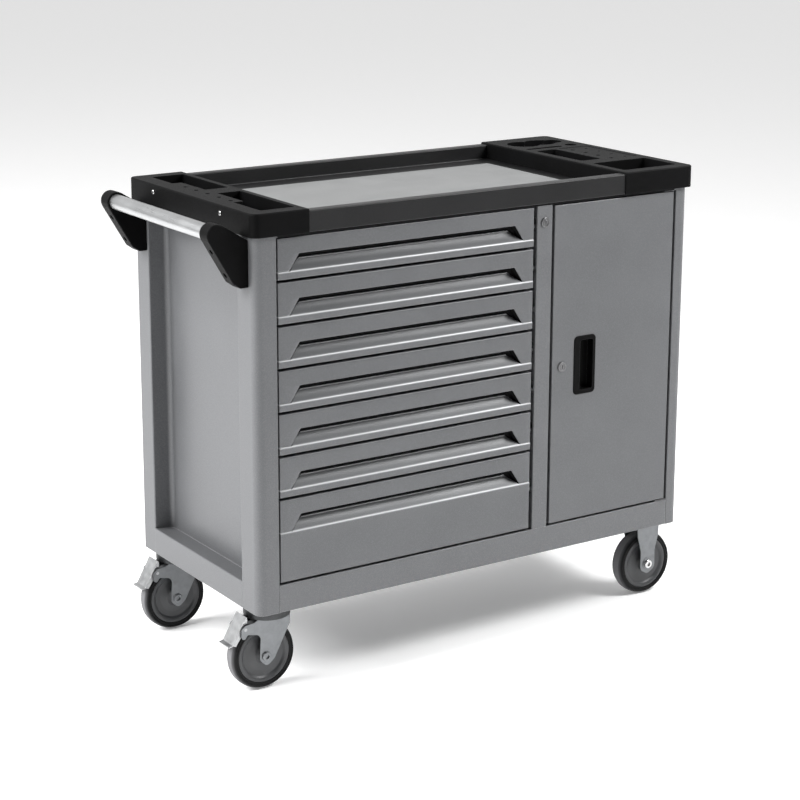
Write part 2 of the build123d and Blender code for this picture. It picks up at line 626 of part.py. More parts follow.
def swivel_plate(y):
    """Mounting plate with the upper ball race and the king pin."""
    plate = along_z(rect(SWIVEL_X - 42, SWIVEL_X + 42, y - 31, y + 31, 5), PLATE_Z, BASE_Z)
    race = rod_z(SWIVEL_X, y, 35, FORK_TOP + 1.2, PLATE_Z)
    race = fillet(race.edges().sort_by(Axis.Z)[0], 3.0)
    pin = rod_z(SWIVEL_X, y, 6, 131, PLATE_Z) + rod_z(SWIVEL_X, y, 9, 131, FORK_TOP - 3.3)
    return drill_base(plate + race + pin)


def fork_leg():
    """Outline of a swivel fork's leg, with the horn that carries the brake pedal."""
    points = [(86, FORK_TOP), (86, 116), (54.5, 56), (39.5, 43.5), (25, 57), (27.5, 104), (2, 109),
              (-4, 101), (-10, 104), (-10, 120), (-1, 127), (16, 129), (34, FORK_TOP)]
    return outline(points, [3, 4, 13, 8, 13, 11, 3, 3, 4, 4, 5, 4, 0])


def swivel_fork(y):
    """Pressed fork: two legs under a round-holed crown, joined by a web on the trailing side."""
    lo, hi = y - LEG_GAP / 2 - LEG_T, y + LEG_GAP / 2 + LEG_T
    fork = block(16, 86, lo, hi, FORK_TOP - 3, FORK_TOP)
    fork += along_y(fork_leg(), lo, lo + LEG_T) + along_y(fork_leg(), hi - LEG_T, hi)
    fork += block(83.5, 86, lo, hi, 118, FORK_TOP)
    fork -= block(14, 34, lo - 1, hi + 1, 129, FORK_TOP + 1) - block(14, 34, lo, hi, 129, FORK_TOP - 3)
    fork += rod_z(SWIVEL_X, y, 29, FORK_TOP - 3, FORK_TOP + 0.8)
    fork -= rod_z(SWIVEL_X, y, 6 + RUNNING, FORK_TOP - 5, FORK_TOP + 2)
    fork -= rod_y(SWIVEL_AXLE_X, WHEEL_R, AXLE_R, lo - 1, hi + 1)
    fork -= rod_y(PIVOT_X, PIVOT_Z, PIVOT_R + RUNNING, lo - 1, hi + 1)
    return fork


def rigid_fork(y):
    """Fixed fork: mounting plate and two broad legs with a raised boss about the axle."""
    lo, hi = y - LEG_GAP / 2 - LEG_T, y + LEG_GAP / 2 + LEG_T
    fork = along_z(rect(RIGID_X - 31, RIGID_X + 31, y - 33, y + 33, 5), PLATE_Z, BASE_Z)
    points = [(-27, PLATE_Z + 1), (-25, 118), (-17, 88), (-18, 52), (0, 42), (18, 52), (17, 88),
              (25, 118), (27, PLATE_Z + 1)]
    leg = outline([(RIGID_X + x, z) for x, z in points], [0, 12, 14, 14, 10, 14, 14, 12, 0])
    for y0, face in ((lo, lo - 1.0), (hi - LEG_T, hi)):
        fork += along_y(leg, y0, y0 + LEG_T)
        fork += rod_y(RIGID_X, WHEEL_R, 12, face, face + 1.0)
    fork -= rod_y(RIGID_X, WHEEL_R, AXLE_R, lo - 3, hi + 3)
    return drill_base(fork)


def axle(x, y, proud):
    """Axle bolt: button head with a hex socket in front, nut behind."""
    lo, hi = y - LEG_GAP / 2 - LEG_T - proud, y + LEG_GAP / 2 + LEG_T + proud
    bolt = rod_y(x, WHEEL_R, AXLE_R, lo, hi + 6)
    head = rod_y(x, WHEEL_R, 8.5, lo - 3.6, lo)
    head = fillet(head.edges().sort_by(Axis.Y)[0], 1.6)
    bolt += head
    bolt -= along_y(Pos(x, WHEEL_R) * RegularPolygon(4.4, 6), lo - 4, lo - 1)
    return bolt + along_y(Pos(x, WHEEL_R) * RegularPolygon(8.6, 6), hi, hi + 6)


def tyre(x, y):
    """Rubber tread with a crown and rounded shoulders."""
    half = WHEEL_W / 2
    points = [(TYRE_IN_R, -half + 2), (WHEEL_R - 5, -half), (WHEEL_R, -half + 9), (WHEEL_R, half - 9),
              (WHEEL_R - 5, half), (TYRE_IN_R, half - 2)]
    section = outline(points, [0, 3, 7, 7, 3, 0])
    ring = revolve(Plane.XZ * section, Axis.Z)
    return Pos(x, y, WHEEL_R) * Rot(90, 0, 0) * ring


def hub(x, y):
    """Moulded wheel centre: rim, dished web and a long boss with the axle's bore."""
    half = WHEEL_W / 2
    points = [(AXLE_R + RUNNING, -18), (15, -18), (18, -11), (40, -9), (43.5, -half + 3),
              (TYRE_IN_R, -half + 3), (TYRE_IN_R, half - 3), (43.5, half - 3), (40, 9),
              (18, 11), (15, 18), (AXLE_R + RUNNING, 18)]
    ring = revolve(Plane.XZ * outline(points, [0, 1.5, 3, 2, 1.2, 0, 0, 1.2, 2, 3, 1.5, 0]), Axis.Z)
    return Pos(x, y, WHEEL_R) * Rot(90, 0, 0) * ring


def brake_pedal(y):
    """Folded foot pedal with a curled toe, two cheeks and the pin that it turns on."""
    half = 17.4
    path = [(3.0, 139.5), (-24.0, 92.5), (-33.0, 90.5)]
    pedal = along_y(sheet_face(path, [5.0], -2.2), y - half, y + half)
    cheek = outline([(3.0, 139.5), (-24.0, 92.5), (-19.5, 90.5), (-10.0, 104.5), (3.0, 114.5),
                     (4.0, 124.0)], [0, 0, 0, 6, 3, 3])
    for y0 in (y - half, y + half - 2.0):
        pedal += along_y(cheek, y0, y0 + 2.0)
    return pedal + rod_y(PIVOT_X, PIVOT_Z, PIVOT_R, y - 21.4, y + 21.4)


def caster_bolts():
    """Bolts up through the mounting plates, each with its nut inside the base."""
    pieces = []
    for x, y in bolt_places():
        bolt = rod_z(x, y, 3.2, PLATE_Z - 4, BASE_Z + 10)
        pieces.append(bolt + along_z(Pos(x, y) * RegularPolygon(5.0, 6), PLATE_Z - 4, PLATE_Z))
        nut = along_z(Pos(x, y) * RegularPolygon(5.0, 6), BASE_Z + SHEET, BASE_Z + SHEET + 5)
        pieces.append(nut - rod_z(x, y, 3.2, BASE_Z, BASE_Z + 8))
    return pieces


# ---------------------------------------------------------------- write the nodes

export("side_panel_left", drill_handle(drill_base(side_panel(LEFT_POST, LEFT_RECESS))))
export("side_panel_right", drill_base(mirror_x(side_panel(RIGHT_POST, RIGHT_RECESS))))
export("front_frame", *front_frame())
export("floor_pan", floor_pan())
export("back_panel", back_panel())
export("centre_partition", centre_partition())
export("cupboard_shelf", *cupboard_shelf())
export("top_pan", top_pan())
export("worktop_mat", worktop_mat())
export("end_tray_left", end_tray_left())
export("end_tray_right", end_tray_right())
export("tray_screws", *tray_screws())
export("handle_brackets", *handle_brackets())
export("handle_tube", handle_tube())
export("handle_screws", *handle_screws())
export("outer_slides", *outer_slides())
for i, (top_z, height) in enumerate(drawer_rows(), start=1):
    export(f"drawer_{i}_front", drawer_front(top_z, height))
    export(f"drawer_{i}_box", *drawer_box(top_z, height))
    export(f"drawer_{i}_middle_slides", *middle_slides(top_z, height))
export("door_panel", door_panel())
export("door_handle_cup", door_handle_cup())
export("door_lock", door_lock())
export("main_lock", main_lock())
export("lock_bar", lock_bar())
export("hinge_brackets", *hinge_brackets())
export("hinge_pins", *hinge_pins())
export("swivel_plates", swivel_plate(FRONT_WHEEL_Y), swivel_plate(REAR_WHEEL_Y))
export("rigid_forks", rigid_fork(FRONT_WHEEL_Y), rigid_fork(REAR_WHEEL_Y))
export("rigid_axles", axle(RIGID_X, FRONT_WHEEL_Y, 1.0), axle(RIGID_X, REAR_WHEEL_Y, 1.0))
export("caster_bolts", *caster_bolts())
for end, y in (("front", FRONT_WHEEL_Y), ("rear", REAR_WHEEL_Y)):
    export(f"swivel_fork_{end}", swivel_fork(y), axle(SWIVEL_AXLE_X, y, 0.0))
    export(f"brake_pedal_{end}", brake_pedal(y))
    for side_name, x in (("left", SWIVEL_AXLE_X), ("right", RIGID_X)):
        export(f"tyre_{end}_{side_name}", tyre(x, y))
        export(f"hub_{end}_{side_name}", hub(x, y))
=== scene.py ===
import json
import math
import bmesh
import bpy
import numpy as np
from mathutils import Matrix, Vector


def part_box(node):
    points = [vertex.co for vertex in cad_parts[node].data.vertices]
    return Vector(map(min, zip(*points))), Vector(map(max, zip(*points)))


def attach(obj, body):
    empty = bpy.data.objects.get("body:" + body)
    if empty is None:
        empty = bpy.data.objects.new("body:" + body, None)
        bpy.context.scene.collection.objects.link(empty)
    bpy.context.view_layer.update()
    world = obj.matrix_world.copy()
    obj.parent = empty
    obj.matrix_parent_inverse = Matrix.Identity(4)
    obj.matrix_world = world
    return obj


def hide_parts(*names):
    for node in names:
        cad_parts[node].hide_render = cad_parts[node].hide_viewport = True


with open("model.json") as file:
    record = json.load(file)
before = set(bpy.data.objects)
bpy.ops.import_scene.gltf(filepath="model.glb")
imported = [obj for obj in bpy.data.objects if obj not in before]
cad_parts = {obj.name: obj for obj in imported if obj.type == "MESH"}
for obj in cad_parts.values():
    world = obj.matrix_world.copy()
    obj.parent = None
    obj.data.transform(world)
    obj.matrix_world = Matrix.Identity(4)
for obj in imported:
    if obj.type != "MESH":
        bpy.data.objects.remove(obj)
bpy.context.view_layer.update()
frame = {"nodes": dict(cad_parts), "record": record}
scene = bpy.context.scene
print("frame loaded with", len(frame["nodes"]), "nodes")

# camera: metres and degrees, yaw from +Y towards +X
cameraView = {"place": (-2.0543, -3.0790, 1.454), "yaw": 32.81, "pitch": -13.38,
              "lens": 92.8, "shiftX": 0.033, "shiftY": -0.10}


def makeCamera(view):
    data = bpy.data.cameras.new("camera")
    data.lens = view["lens"]
    data.shift_x = view["shiftX"]
    data.shift_y = view["shiftY"]
    camera = bpy.data.objects.new("camera", data)
    scene.collection.objects.link(camera)
    camera.location = view["place"]
    camera.rotation_euler = (math.radians(90 + view["pitch"]), 0, -math.radians(view["yaw"]))
    scene.camera = camera


makeCamera(cameraView)

# soft boxes: place, point aimed at, size in metres, power in watts
studio = {"sky": "ffffff", "skyLow": 0.0, "skyHigh": 0.92, "darkSide": (-0.45, -0.87, 0.18),
          "darkFrom": 0.05, "darkTo": 0.68, "floor": "fafafa", "cloud": "f7f7f7", "cloudMm": 60.0,
          "floorRough": 0.8, "floorSize": 40.0, "glow": 0.16,
          "boxes": {"overhead": ((0.0, 0.6, 5.2), (0.0, 0.0, 0.0), 5.0, 26.0),
                    "side": ((-3.4, 0.6, 3.2), (-0.45, 0.0, 0.6), 2.8, 350.0),
                    "front": ((1.25, -1.20, 1.95), (0.35, -0.2, 0.75), 0.8, 52.0)}}


# sRGB hex to linear: a straight line below the toe, a 2.4 power above it
def linear(hexColour):
    parts = np.array([int(hexColour[i:i + 2], 16) / 255 for i in (0, 2, 4)])
    low = parts / 12.92
    high = ((parts + 0.055) / 1.055) ** 2.4
    return (*np.where(parts <= 0.04045, low, high).tolist(), 1.0)


# adds one shader node: inputs are values or other nodes' outputs, settings are its own options
def add(tree, kind, inputs=None, **settings):
    made = tree.nodes.new("ShaderNode" + kind)
    for name, value in settings.items():
        setattr(made, name, value)
    for name, value in (inputs or {}).items():
        if isinstance(value, bpy.types.NodeSocket):
            tree.links.new(value, made.inputs[name])
        else:
            made.inputs[name].default_value = value
    return made


# an empty material with its output, its shader and the piece's own coordinates
def startMaterial(name, shaderInputs):
    material = bpy.data.materials.new(name)
    material.use_nodes = True
    tree = material.node_tree
    tree.nodes.clear()
    shader = add(tree, "BsdfPrincipled", shaderInputs)
    add(tree, "OutputMaterial", {"Surface": shader.outputs["BSDF"]})
    place = add(tree, "TexCoord").outputs["Object"]
    return material, tree, shader, place


# 0 to 1 pattern from noise whose features are about sizeMm wide
def grain(tree, place, sizeMm, detail=3.0, stretch=(1.0, 1.0, 1.0)):
    mapped = add(tree, "Mapping", {"Vector": place, "Scale": stretch})
    noise = add(tree, "TexNoise", {"Vector": mapped.outputs["Vector"], "Scale": 1000.0 / sizeMm,
                                   "Detail": detail, "Roughness": 0.55})
    return noise.outputs["Fac"]


def spread(tree, value, low, high, fromLow=0.3, fromHigh=0.7):
    ranged = add(tree, "MapRange", {"Value": value, "From Min": fromLow, "From Max": fromHigh,
                                    "To Min": low, "To Max": high})
    return ranged.outputs["Result"]


def blendColours(tree, factor, first, second):
    mixed = add(tree, "Mix", {0: factor, 6: first, 7: second}, data_type="RGBA")
    return mixed.outputs[2]


# the surface's normal with its edges rounded over
def roundedNormal(tree, edgeMm):
    return add(tree, "Bevel", {"Radius": edgeMm / 1000}, samples=4).outputs["Normal"]


# up to the given share along edges, lightened there for wear and as a painted highlight: where the rounded
# normal turns away from the true one
def edgeWearAndHighlightMask(tree, rounded, wear):
    true = add(tree, "NewGeometry").outputs["Normal"]
    facing = add(tree, "VectorMath", {0: rounded, 1: true}, operation="DOT_PRODUCT")
    mask = spread(tree, facing.outputs["Value"], 1.0, 0.0, 0.80, 0.995)
    return add(tree, "Math", {0: mask, 1: wear}, operation="MULTIPLY").outputs[0]


# bump from a 0 to 1 height, over the rounded normal where the piece has one
def addBump(tree, shader, height, strength, depthMm, rounded=None):
    inputs = {"Height": height, "Strength": strength, "Distance": depthMm / 1000}
    if rounded is not None:
        inputs["Normal"] = rounded
    bump = add(tree, "Bump", inputs)
    tree.links.new(bump.outputs["Normal"], shader.inputs["Normal"])


# how far the marked points of a front go over to their painted shade colour and to the edge colour that
# paints their highlight
paintedShadeShare, paintedHighlightShare = 0.62, 0.75


# powder-coated sheet steel: a faint orange-peel skin breaks up the reflections, the colour
# drifts a little from panel to panel, and folded edges are lighter, for the thin coat there and a painted
# highlight
def powderCoat(name, look):
    material, tree, shader, place = startMaterial(
        name, {"Metallic": look["metallic"], "Coat Weight": look["coat"], "Coat Roughness": 0.25,
               "Specular IOR Level": look["sheen"]})
    bevel = roundedNormal(tree, look["edgeMm"])
    drift = grain(tree, place, look["driftMm"], 2.0)
    peel = grain(tree, place, look["peelMm"], 2.0)
    fleck = grain(tree, place, look["fleckMm"], 1.0)
    colour = blendColours(tree, spread(tree, drift, 0.0, 1.0), linear(look["low"]), linear(look["high"]))
    colour = blendColours(tree, spread(tree, fleck, 0.0, look["fleck"], 0.45, 0.7), colour,
                          linear(look["fleckColour"]))
    # edges lightened for wear and as a painted highlight
    edgeWearAndHighlight = edgeWearAndHighlightMask(tree, bevel, look["wear"])
    colour = blendColours(tree, edgeWearAndHighlight, colour, linear(look["edge"]))
    # painted shade: up the fronts' sloping sheet the colour is darkened towards a dark grey
    shade = add(tree, "Attribute", attribute_name="shade").outputs["Fac"]
    shade = spread(tree, shade, 0.0, paintedShadeShare, 0.0, 1.0)
    colour = blendColours(tree, shade, colour, linear(look["dull"]))
    # painted highlight: along the fronts' hem and ridge the colour goes over to the light edge colour
    rub = add(tree, "Attribute", attribute_name="rub").outputs["Fac"]
    rub = spread(tree, rub, 0.0, paintedHighlightShare, 0.0, 1.0)
    colour = blendColours(tree, rub, colour, linear(look["edge"]))
    tree.links.new(colour, shader.inputs["Base Color"])
    tree.links.new(spread(tree, drift, *look["roughness"]), shader.inputs["Roughness"])
    addBump(tree, shader, peel, look["peel"], 0.6, bevel)
    return material


# orange peel is really about 1 mm across and is drawn at 3 mm so that it shows
cabinetCoat = powderCoat("satinPowderCoatSilverGrey", {
    "low": "595a5c", "high": "5f6062", "edge": "b4b5b7", "fleckColour": "7e7f81", "fleck": 0.35,
    "fleckMm": 1.2, "metallic": 0.25, "coat": 0.08, "sheen": 0.5, "roughness": (0.40, 0.47),
    "peelMm": 3.0, "dull": "3a3b3c", "peel": 0.10, "driftMm": 160.0, "edgeMm": 1.6, "wear": 0.55})
frontCoat = powderCoat("satinPowderCoatGreyFronts", {
    "low": "58595b", "high": "5e5f61", "edge": "bcbdbf", "fleckColour": "757678", "fleck": 0.35,
    "fleckMm": 1.2, "metallic": 0.25, "coat": 0.08, "sheen": 0.4, "roughness": (0.40, 0.47),
    "peelMm": 3.0, "dull": "3a3b3c", "peel": 0.10, "driftMm": 120.0, "edgeMm": 1.4, "wear": 0.75})
drawerCoat = powderCoat("satinPowderCoatDarkGreyBoxes", {
    "low": "5c5d5f", "high": "646567", "edge": "8a8b8d", "fleckColour": "707173", "fleck": 0.3,
    "fleckMm": 1.2, "metallic": 0.1, "coat": 0.0, "sheen": 0.5, "roughness": (0.48, 0.56),
    "peelMm": 3.0, "dull": "3a3b3c", "peel": 0.12, "driftMm": 90.0, "edgeMm": 0.8, "wear": 0.4})
# a matt black coat laid as painted shadow inside the fronts' slots and under the worktop's lip
shadowCoat = powderCoat("mattBlackPrimer", {
    "low": "101011", "high": "141415", "edge": "1c1c1d", "fleckColour": "18181a", "fleck": 0.3,
    "fleckMm": 1.6, "metallic": 0.0, "coat": 0.0, "sheen": 0.15, "roughness": (0.75, 0.85),
    "peelMm": 2.0, "dull": "101011", "peel": 0.15, "driftMm": 60.0, "edgeMm": 0.5, "wear": 0.2})
# a fine-textured black coat: the texture is really 0.8 mm and is drawn at 1.8 mm
worktopCoat = powderCoat("fineTexturedBlackPowderCoat", {
    "low": "0b0b0c", "high": "101011", "edge": "7c7d7e", "fleckColour": "1f1f20", "fleck": 0.6,
    "fleckMm": 1.8, "metallic": 0.0, "coat": 0.0, "sheen": 0.28, "roughness": (0.40, 0.50),
    "peelMm": 1.8, "dull": "101011", "peel": 0.22, "driftMm": 110.0, "edgeMm": 1.6, "wear": 0.55})


# moulded ABS: spark-eroded grain gives a soft broken sheen, and raised edges are lighter, rubbed smooth and
# with a painted highlight
def mouldedPlastic(name, look):
    material, tree, shader, place = startMaterial(name, {"IOR": 1.53, "Specular IOR Level": look["sheen"]})
    bevel = roundedNormal(tree, look["edgeMm"])
    drift = grain(tree, place, look["driftMm"], 3.0)
    spark = grain(tree, place, look["grainMm"], 2.0)
    colour = blendColours(tree, spread(tree, drift, 0.0, 1.0), linear(look["low"]), linear(look["high"]))
    # edges lightened for wear and as a painted highlight
    edgeWearAndHighlight = edgeWearAndHighlightMask(tree, bevel, look["wear"])
    tree.links.new(blendColours(tree, edgeWearAndHighlight, colour, linear(look["edge"])), shader.inputs["Base Color"])
    rough = spread(tree, spark, *look["roughness"])
    tree.links.new(rough, shader.inputs["Roughness"])
    addBump(tree, shader, spark, look["grain"], 0.5, bevel)
    return material


# the grain is really 0.4 mm and is drawn at 1.5 mm so that it shows
trayPlastic = mouldedPlastic("sparkGrainedBlackAbs", {
    "low": "050505", "high": "09090a", "edge": "48494a", "wear": 0.35, "edgeMm": 1.6,
    "driftMm": 70.0, "grainMm": 1.5, "grain": 0.25, "roughness": (0.48, 0.62), "sheen": 0.06})
hubPlastic = mouldedPlastic("mouldedGreyNylon", {
    "low": "333436", "high": "3b3c3e", "edge": "86878a", "wear": 0.4, "edgeMm": 0.8,
    "driftMm": 25.0, "grainMm": 1.2, "grain": 0.18, "roughness": (0.38, 0.50), "sheen": 0.5})


# thermoplastic rubber: matt, with dust in patches, and the band that rolls on the floor painted paler as a
# painted highlight
def treadRubber(name, look):
    material, tree, shader, place = startMaterial(name, {"IOR": 1.52, "Specular IOR Level": look["sheen"]})
    dust = grain(tree, place, look["dustMm"], 5.0)
    skin = grain(tree, place, look["skinMm"], 3.0)
    colour = blendColours(tree, spread(tree, dust, 0.0, 1.0, 0.4, 0.75), linear(look["low"]),
                          linear(look["high"]))
    # painted highlight: the tread band is lightened towards a pale grey
    roll = add(tree, "Attribute", attribute_name="roll").outputs["Fac"]
    colour = blendColours(tree, roll, colour, linear(look["tread"]))
    tree.links.new(colour, shader.inputs["Base Color"])
    tree.links.new(spread(tree, dust, *look["roughness"]), shader.inputs["Roughness"])
    addBump(tree, shader, skin, look["skin"], 0.4)
    return material


tyreRubber = treadRubber("mattCharcoalTreadRubber", {
    "low": "080809", "high": "111112", "tread": "6e6e70", "dustMm": 18.0, "skinMm": 1.4, "skin": 0.25,
    "roughness": (0.55, 0.72), "sheen": 0.22})


# foamed rubber mat: tiny moulded pyramids, really 2 mm apart and drawn at 5 mm, over a dusty grey, with
# painted shade in the hollows between them
def matRubber(name, look):
    material, tree, shader, place = startMaterial(name, {"IOR": 1.45})
    dust = grain(tree, place, look["dustMm"], 4.0)
    cells = add(tree, "TexVoronoi", {"Vector": place, "Scale": 1000.0 / look["cellMm"], "Randomness": 0.0},
                feature="F1", distance="CHEBYCHEV")
    ribs = spread(tree, cells.outputs["Distance"], 1.0, 0.0, 0.1, 0.5)
    colour = blendColours(tree, spread(tree, dust, 0.0, 1.0), linear(look["low"]), linear(look["high"]))
    # painted shade: the hollows between the pyramids are darkened
    shade = spread(tree, ribs, look["hollow"], 0.0, 0.0, 0.5)
    tree.links.new(blendColours(tree, shade, colour, linear(look["deep"])), shader.inputs["Base Color"])
    tree.links.new(spread(tree, dust, *look["roughness"]), shader.inputs["Roughness"])
    addBump(tree, shader, ribs, look["relief"], 0.8)
    return material


greyMat = matRubber("mouldedGreyFoamRubber", {
    "low": "6b6c6c", "high": "737474", "deep": "5e5f5f", "hollow": 0.25, "relief": 0.25,
    "cellMm": 5.0, "dustMm": 45.0, "roughness": (0.62, 0.74)})


# plated steel: a bright metal whose plating crystals and handling marks vary the gloss
def platedSteel(name, look):
    material, tree, shader, place = startMaterial(name, {"Metallic": 1.0})
    bevel = roundedNormal(tree, look["edgeMm"])
    stain = grain(tree, place, look["stainMm"], 5.0)
    lay = grain(tree, place, look["layMm"], 2.0, look["lay"])
    colour = blendColours(tree, spread(tree, stain, 0.0, 1.0), linear(look["low"]), linear(look["high"]))
    tree.links.new(colour, shader.inputs["Base Color"])
    rough = add(tree, "Math", {0: spread(tree, stain, *look["roughness"]),
                               1: spread(tree, lay, -0.04, 0.06)}, operation="ADD")
    tree.links.new(rough.outputs[0], shader.inputs["Roughness"])
    addBump(tree, shader, lay, look["relief"], 0.3, bevel)
    return material


pressedZinc = platedSteel("blueZincPlatedPressing", {
    "low": "6e7072", "high": "7e8082", "stainMm": 14.0, "layMm": 1.6, "lay": (1.0, 1.0, 1.0),
    "roughness": (0.34, 0.46), "relief": 0.15, "edgeMm": 0.8})
pedalZinc = platedSteel("brightZincPlatedPedal", {
    "low": "9b9c9d", "high": "b0b1b2", "stainMm": 10.0, "layMm": 1.6, "lay": (1.0, 1.0, 1.0),
    "roughness": (0.30, 0.42), "relief": 0.12, "edgeMm": 0.9})
slideZinc = platedSteel("rolledZincPlatedStrip", {
    "low": "b4b6b8", "high": "c6c8ca", "stainMm": 30.0, "layMm": 1.5, "lay": (1.0, 0.04, 1.0),
    "roughness": (0.28, 0.38), "relief": 0.12, "edgeMm": 0.5})
brightPlate = platedSteel("nickelPlatedTurnedSteel", {
    "low": "c2c2c2", "high": "d4d4d4", "stainMm": 6.0, "layMm": 1.2, "lay": (1.0, 1.0, 1.0),
    "roughness": (0.18, 0.28), "relief": 0.08, "edgeMm": 0.5})
# the cup's zinc is painted dark, as painted shade for the shadow under the cabinet
shadowZinc = platedSteel("greaseStainedZincPressing", {
    "low": "3c3d3e", "high": "505152", "stainMm": 22.0, "layMm": 2.0, "lay": (1.0, 1.0, 1.0),
    "roughness": (0.42, 0.55), "relief": 0.08, "edgeMm": 0.8})
lockNickel = platedSteel("dullNickelPlatedZincAlloy", {
    "low": "6e6e6f", "high": "7c7c7d", "stainMm": 5.0, "layMm": 1.2, "lay": (1.0, 1.0, 1.0),
    "roughness": (0.30, 0.40), "relief": 0.08, "edgeMm": 0.4})
# drawn and anodised: the draw lines run along the tube, really 0.2 mm apart and drawn at 1.2 mm
tubeAluminium = platedSteel("satinAnodisedAluminiumTube", {
    "low": "a6a7a8", "high": "b4b5b6", "stainMm": 60.0, "layMm": 1.2, "lay": (1.0, 0.03, 1.0),
    "roughness": (0.28, 0.36), "relief": 0.10, "edgeMm": 0.5})
print("materials made")


# puts arrays of points (count x 3, metres) and faces into a new object of smooth faces
def makePiece(name, points, faces, materials, faceSlots=None, sharpDegrees=35.0):
    mesh = bpy.data.meshes.new(name)
    mesh.from_pydata(points.tolist(), [], faces if isinstance(faces, list) else faces.tolist())
    for material in materials:
        mesh.materials.append(material)
    if faceSlots is not None:
        mesh.polygons.foreach_set("material_index", faceSlots)
    shell = bmesh.new()
    shell.from_mesh(mesh)
    bmesh.ops.remove_doubles(shell, verts=shell.verts, dist=2e-6)
    bmesh.ops.recalc_face_normals(shell, faces=shell.faces)
    shell.to_mesh(mesh)
    shell.free()
    mesh.shade_smooth()
    mesh.set_sharp_from_angle(angle=math.radians(sharpDegrees))
    piece = bpy.data.objects.new(name, mesh)
    scene.collection.objects.link(piece)
    return piece


# a piece's points (count x 3), in metres
def pointsOf(piece):
    spots = np.empty(len(piece.data.vertices) * 3)
    piece.data.vertices.foreach_get("co", spots)
    return spots.reshape(-1, 3)


# one value for each point, which a material reads by the mark's name
def markPoints(piece, name, values):
    mark = piece.data.attributes.new(name, "FLOAT", "POINT")
    mark.data.foreach_set("value", values.astype(np.float32))


# quads of a grid of nu x nv points, numbered row by row, joined end to end where asked
def gridFaces(nu, nv, closeU, closeV):
    u = np.arange(nu if closeU else nu - 1)[:, None]
    v = np.arange(nv if closeV else nv - 1)[None, :]
    u2, v2 = (u + 1) % nu, (v + 1) % nv
    corners = [u * nv + v, u2 * nv + v, u2 * nv + v2, u * nv + v2]
    return np.stack(corners, axis=-1).reshape(-1, 4)


# one face round the border of a grid of nu x nv points, which closes it
def borderFace(nu, nv):
    grid = np.arange(nu * nv).reshape(nu, nv)
    return np.concatenate([grid[:, 0], grid[-1, 1:], grid[-2::-1, -1], grid[0, -2:0:-1]]).tolist()


# a closed outline (count x 2) with each corner rounded to its own radius: the arc is swept
# about a centre that lies radius away from both sides
def roundedOutline(corners, radii, steps=5):
    corners = np.array(corners, float)
    out = []
    for i, radius in enumerate(radii):
        before = corners[i - 1] - corners[i]
        after = corners[(i + 1) % len(corners)] - corners[i]
        before /= np.linalg.norm(before)
        after /= np.linalg.norm(after)
        half = math.acos(np.clip(before @ after, -1, 1)) / 2
        if radius < 1e-6:
            out.append(corners[i:i + 1])
            continue
        reach = radius / math.tan(half)
        middle = corners[i] + (before + after) / np.linalg.norm(before + after) * radius / math.sin(half)
        start, end = corners[i] + before * reach - middle, corners[i] + after * reach - middle
        t = np.linspace(0, 1, steps)[:, None]
        arc = start * (1 - t) + end * t
        out.append(middle + arc / np.linalg.norm(arc, axis=1, keepdims=True) * radius)
    return np.concatenate(out)


# ring turned about an axis along Y, or along Z where upright: each outline point
# (radius, along), in mm, goes once round
def turned(name, centre, outline, materials, segments=96, sharpDegrees=35.0, upright=False):
    angle = np.arange(segments) / segments * 2 * math.pi
    radius, along = outline[:, 0] / 1000, outline[:, 1] / 1000
    x = np.cos(angle)[:, None] * radius[None, :]
    side = np.sin(angle)[:, None] * radius[None, :]
    along = np.broadcast_to(along[None, :], x.shape)
    y, z = (side, along) if upright else (along, side)
    points = np.stack([centre[0] + x, centre[1] + y, centre[2] + z], axis=-1).reshape(-1, 3)
    return makePiece(name, points, gridFaces(segments, len(outline), True, True), materials,
                     sharpDegrees=sharpDegrees)


# middle of a CAD node's box
def middleOf(node):
    low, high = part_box(node)
    return (low + high) / 2


# drawer front, in mm down from its top edge and out from its middle: eps is half the gap left
# across a step in depth, and columns counts the grid's steps from each bend to the next
front = {"fold": 1.2, "depth": 17.9, "gripTop": 28.4, "hem": 37.8, "ridge": 57.0, "hemDepth": 15.0,
         "halfTop": 221.0, "halfRidge": 240.0, "hemHalf": 213.0, "sheetHalf": 239.4, "well": 17.4,
         "roll": 1.4, "bead": 1.5, "proud": 1.3, "beadFall": 16.0, "groove": 1.3, "soft": 1.6,
         "hemRoll": 0.9, "hemSoft": 0.8, "grooveUp": 1.1, "grooveSoft": 0.55, "rubDown": 0.4,
         "rubSoft": 1.3, "darkDepth": 2.5, "eps": 0.12, "columns": [3, 1, 1, 3, 1, 1, 26, 1, 1, 3, 1, 1, 3]}


# half widths of the slot's mouth and of the sloping sheet inside it, at a distance down
def gripHalves(down, look):
    top, hem, ridge = look["gripTop"], look["hem"], look["ridge"]
    t = np.clip((down - top) / (ridge - top), 0, 1)
    s = np.clip((down - hem) / (ridge - hem), 0, 1)
    mouth = look["halfTop"] + (look["halfRidge"] - look["halfTop"]) * t
    sheet = look["hemHalf"] + (look["sheetHalf"] - look["hemHalf"]) * s
    return mouth, sheet


# 1 along the hem's rolled edge, fading out above and below it
def hemRoll(down, look):
    return np.exp(-((down - look["hem"] - look["hemRoll"]) / look["hemSoft"]) ** 2)


